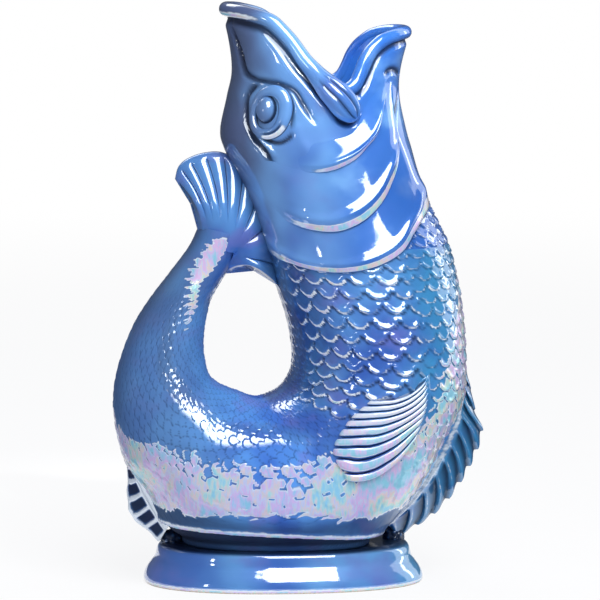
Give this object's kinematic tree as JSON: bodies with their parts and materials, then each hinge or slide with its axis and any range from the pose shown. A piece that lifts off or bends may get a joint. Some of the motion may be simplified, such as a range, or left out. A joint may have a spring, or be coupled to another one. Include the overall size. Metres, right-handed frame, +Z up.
{
  "type": "gurgle jug",
  "caption": "Hollow fish-shaped pouring jug on an oval foot, with an open mouth as spout, a curled tail as handle, raised scales, fins and face plates.",
  "frame": {"origin": "on the surface that the jug stands on, under the middle of its length and in its plane of symmetry; the middle of the foot lies 6.2 mm towards the handle from it", "axes": "+X from the handle to the lower jaw and spout, +Y to the fish's left side, +Z up"},
  "size_m": [0.1514, 0.0978, 0.235],
  "materials": {
    "head_glaze": "smooth blue lustre glaze, high gloss",
    "scale_glaze": "blue lustre glaze over raised scales, pearly rainbow sheen, high gloss",
    "fin_glaze": "blue lustre glaze over ridged rays, high gloss",
    "foot_glaze": "smooth blue lustre glaze, with a bare clay rim underneath"
  },
  "bodies": {
    "root": {"foot": "foot_glaze", "body_shell": "scale_glaze", "tail_shell": "scale_glaze", "head_shell": "head_glaze", "upper_lip": "head_glaze", "lower_lip": "head_glaze", "right_eye": "head_glaze", "left_eye": "head_glaze", "right_eye_ring": "head_glaze", "left_eye_ring": "head_glaze", "right_jaw_plate": "head_glaze", "left_jaw_plate": "head_glaze", "right_cheek_plate": "head_glaze", "left_cheek_plate": "head_glaze", "right_gill_cover": "head_glaze", "left_gill_cover": "head_glaze", "right_pectoral_fin": "fin_glaze", "left_pectoral_fin": "fin_glaze", "belly_fin": "fin_glaze", "anal_fin": "fin_glaze", "tail_fin": "fin_glaze"}
  },
  "joints": []
}
